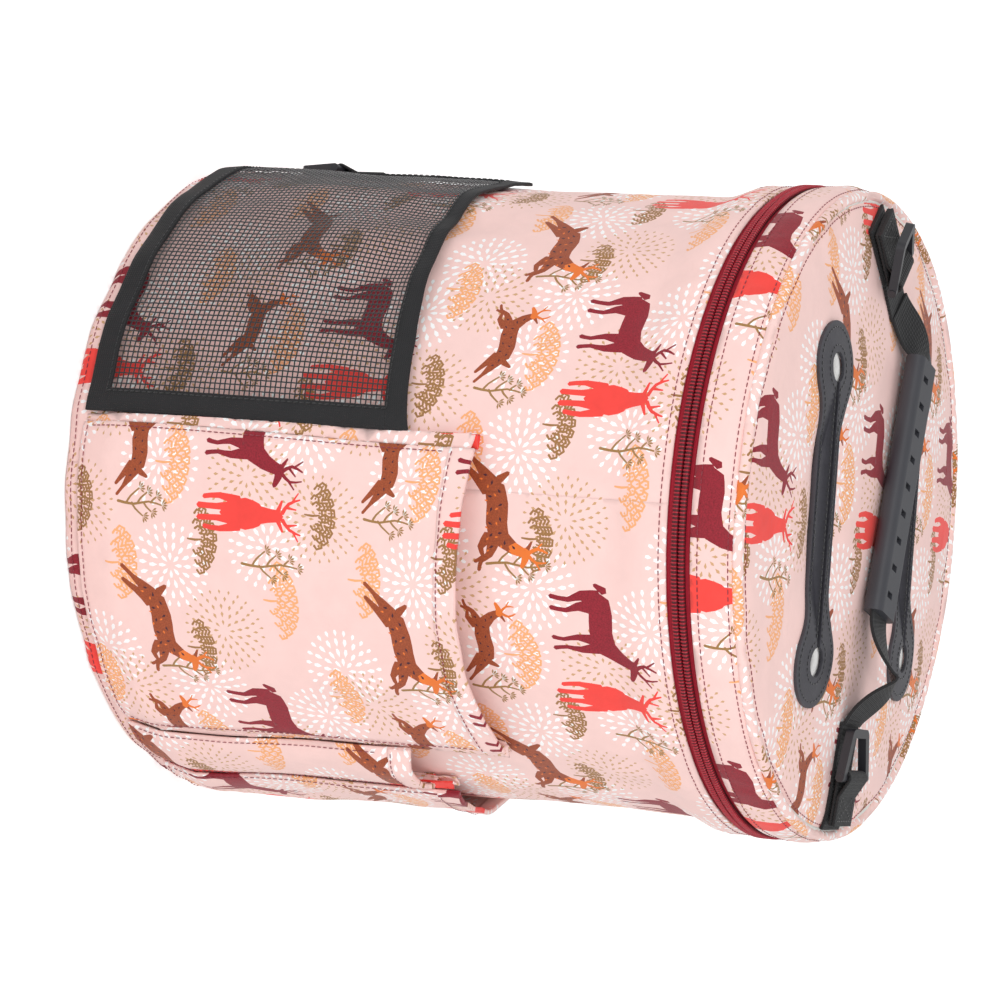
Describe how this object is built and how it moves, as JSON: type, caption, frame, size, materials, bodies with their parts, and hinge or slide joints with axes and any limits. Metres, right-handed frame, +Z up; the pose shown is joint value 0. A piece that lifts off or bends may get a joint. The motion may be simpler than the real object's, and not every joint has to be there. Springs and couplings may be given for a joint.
{
  "type": "soft drum carrier bag",
  "caption": "Drum-shaped zip-lid carrier bag with printed cloth, mesh and cloth pockets, slotted lid, webbing handle and strap rings.",
  "frame": {"origin": "centre of the underside of the base, the face the bag stands on", "axes": "+Z up along the drum, -Y the front with the pockets, +Y the lid's hinge"},
  "size_m": [0.3394, 0.3317, 0.3821],
  "materials": {
    "printed_cloth": "smooth woven polyester, printed",
    "lining_cloth": "plain woven polyester",
    "foam": "closed-cell foam",
    "board": "stiff plastic board",
    "base_cloth": "coated woven cloth",
    "wire": "plastic hoop",
    "zip_tape": "woven tape",
    "zip_coil": "nylon coil",
    "zip_metal": "painted casting",
    "mesh": "open knitted mesh",
    "binding": "ribbed woven tape",
    "leather": "smooth coated leather",
    "webbing": "ribbed woven webbing",
    "ring_plastic": "moulded",
    "grip_plastic": "soft moulded"
  },
  "bodies": {
    "bag": {"body_shell": "printed_cloth", "body_foam": "foam", "body_lining": "lining_cloth", "base_panel": "base_cloth", "base_board": "board", "base_lining": "lining_cloth", "rim_wire_body": "wire", "zip_tape_lower": "zip_tape", "zip_coil_lower": "zip_coil", "hinge_strip_lower": "printed_cloth", "front_pocket_panel": "printed_cloth", "front_pocket_hem": "printed_cloth", "front_pocket_gusset": "printed_cloth", "tool_pocket_panel": "printed_cloth", "tool_pocket_hem": "printed_cloth", "tool_pocket_gusset": "printed_cloth", "side_pocket_panel": "printed_cloth", "side_pocket_hem": "printed_cloth", "side_pocket_gusset": "printed_cloth", "mesh_panel": "mesh", "mesh_binding_left": "binding", "mesh_binding_right": "binding", "mesh_binding_bottom": "binding", "mesh_binding_top": "binding", "ring_tab_low": "webbing"},
    "lid": {"lid_top_fabric": "printed_cloth", "lid_foam": "foam", "lid_lining": "lining_cloth", "lid_piping": "printed_cloth", "lid_skirt": "printed_cloth", "lid_skirt_foam": "foam", "lid_skirt_lining": "lining_cloth", "rim_wire_lid": "wire", "zip_tape_upper": "zip_tape", "zip_coil_upper": "zip_coil", "hinge_strip_upper": "printed_cloth", "slot_trim_front": "leather", "slot_trim_back": "leather", "anchor_left": "webbing", "anchor_right": "webbing", "ring_tab_left": "webbing", "ring_tab_right": "webbing"},
    "handle": {"handle_grip": "grip_plastic", "strap_left": "webbing", "strap_right": "webbing"},
    "ring_left": {"d_ring_left": "ring_plastic"},
    "ring_right": {"d_ring_right": "ring_plastic"},
    "ring_low": {"d_ring_low": "ring_plastic"},
    "slider": {"zip_slider": "zip_metal", "zip_slider_back": "zip_metal"},
    "pull": {"zip_pull": "zip_metal"}
  },
  "joints": [
    {"name": "lid_hinge", "type": "hinge", "parent": "bag", "child": "lid", "pos_m": [0, 0.1635, 0.3275], "axis": [-1, 0, 0], "range_deg": [0, 165]},
    {"name": "handle_lift", "type": "slide", "parent": "lid", "child": "handle", "axis": [0, 0, 1], "range_m": [0, 0.03], "deforming": ["strap_left", "strap_right"]},
    {"name": "ring_left_flip", "type": "hinge", "parent": "lid", "child": "ring_left", "pos_m": [-0.12096, 0.01075, 0.36699], "axis": [-0.6131, 0.7878, -0.0593], "range_deg": [0, 140]},
    {"name": "ring_right_flip", "type": "hinge", "parent": "lid", "child": "ring_right", "pos_m": [0.12724, -0.00767, 0.36645], "axis": [0.0524, 0.9986, 0.0007], "range_deg": [0, 150]},
    {"name": "ring_low_swing", "type": "hinge", "parent": "bag", "child": "ring_low", "pos_m": [-0.16248, 0.02284, 0.052], "axis": [0.1392, 0.9903, 0], "range_deg": [0, 150]},
    {"name": "slider_travel", "type": "hinge", "parent": "bag", "child": "slider", "pos_m": [0, 0, 0.3275], "axis": [0, 0, -1], "range_deg": [0, 310]},
    {"name": "pull_flip", "type": "hinge", "parent": "slider", "child": "pull", "pos_m": [0.06799, 0.14919, 0.3275], "axis": [0, 0, 1], "range_deg": [0, 175]}
  ]
}
